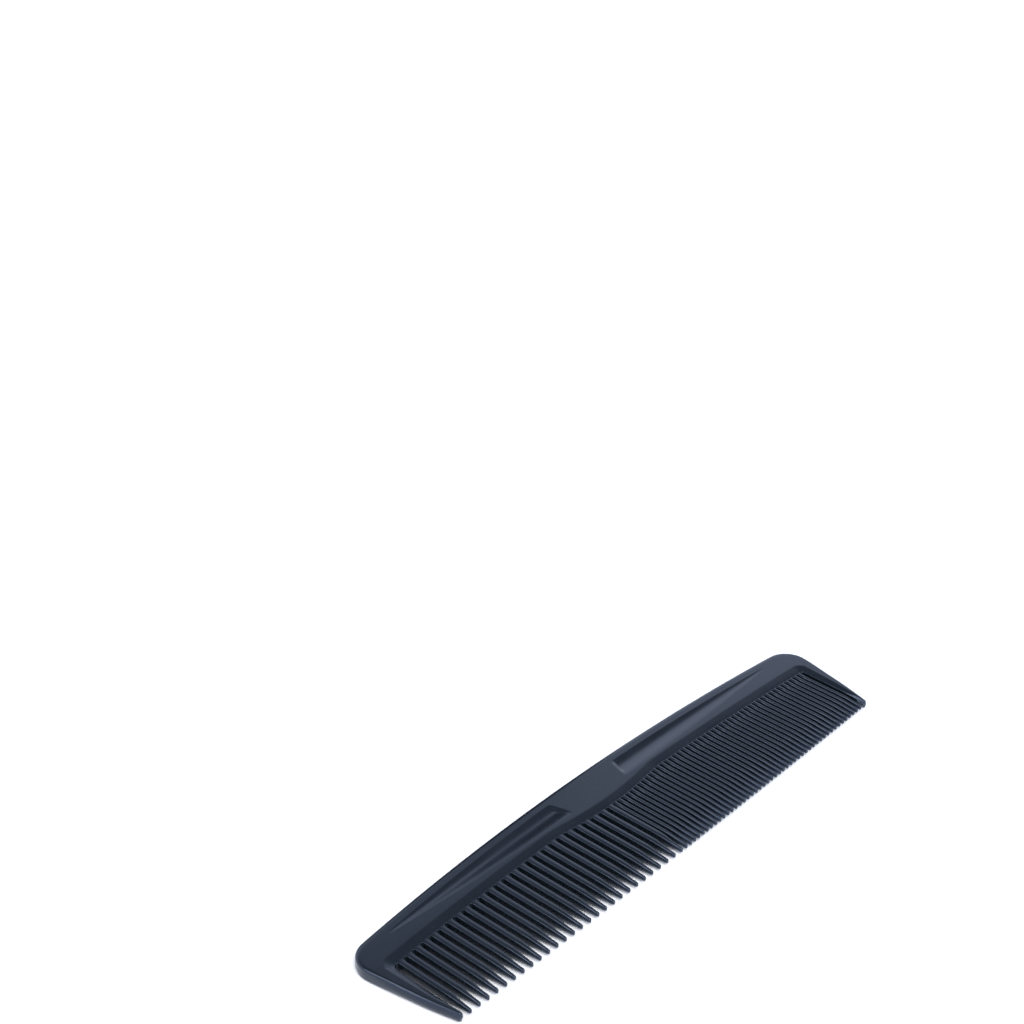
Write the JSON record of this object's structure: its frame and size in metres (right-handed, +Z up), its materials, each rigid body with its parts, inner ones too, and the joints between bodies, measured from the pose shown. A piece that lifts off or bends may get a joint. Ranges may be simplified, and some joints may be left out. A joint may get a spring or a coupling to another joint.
{
  "type": "hair comb",
  "caption": "Black moulded plastic dressing comb with an arched, grooved spine, coarse teeth on one half and fine teeth on the other.",
  "frame": {"origin": "on the surface that the comb lies on, under the middle of its bounding box", "axes": "+X along the comb from the coarse end to the fine end, +Y from the tooth tips to the arched back, +Z up off the surface, through the comb's thickness"},
  "size_m": [0.18, 0.0396, 0.0041],
  "materials": {
    "comb_plastic": "gloss"
  },
  "bodies": {
    "root": {"spine": "comb_plastic", "coarse_end_guard": "comb_plastic", "fine_end_guard": "comb_plastic", "coarse_tooth_01": "comb_plastic", "coarse_tooth_02": "comb_plastic", "coarse_tooth_03": "comb_plastic", "coarse_tooth_04": "comb_plastic", "coarse_tooth_05": "comb_plastic", "coarse_tooth_06": "comb_plastic", "coarse_tooth_07": "comb_plastic", "coarse_tooth_08": "comb_plastic", "coarse_tooth_09": "comb_plastic", "coarse_tooth_10": "comb_plastic", "coarse_tooth_11": "comb_plastic", "coarse_tooth_12": "comb_plastic", "coarse_tooth_13": "comb_plastic", "coarse_tooth_14": "comb_plastic", "coarse_tooth_15": "comb_plastic", "coarse_tooth_16": "comb_plastic", "coarse_tooth_17": "comb_plastic", "coarse_tooth_18": "comb_plastic", "coarse_tooth_19": "comb_plastic", "coarse_tooth_20": "comb_plastic", "coarse_tooth_21": "comb_plastic", "coarse_tooth_22": "comb_plastic", "coarse_tooth_23": "comb_plastic", "coarse_tooth_24": "comb_plastic", "coarse_tooth_25": "comb_plastic", "coarse_tooth_26": "comb_plastic", "coarse_tooth_27": "comb_plastic", "fine_teeth_01_02": "comb_plastic", "fine_teeth_03_04": "comb_plastic", "fine_teeth_05_06": "comb_plastic", "fine_teeth_07_08": "comb_plastic", "fine_teeth_09_10": "comb_plastic", "fine_teeth_11_12": "comb_plastic", "fine_teeth_13_14": "comb_plastic", "fine_teeth_15_16": "comb_plastic", "fine_teeth_17_18": "comb_plastic", "fine_teeth_19_20": "comb_plastic", "fine_teeth_21_22": "comb_plastic", "fine_teeth_23_24": "comb_plastic", "fine_teeth_25_26": "comb_plastic", "fine_teeth_27_28": "comb_plastic", "fine_teeth_29_30": "comb_plastic", "fine_teeth_31_32": "comb_plastic", "fine_teeth_33_34": "comb_plastic", "fine_teeth_35_36": "comb_plastic", "fine_teeth_37_38": "comb_plastic", "fine_teeth_39_40": "comb_plastic", "fine_teeth_41_42": "comb_plastic", "fine_teeth_43_44": "comb_plastic", "fine_teeth_45_46": "comb_plastic"}
  },
  "joints": []
}
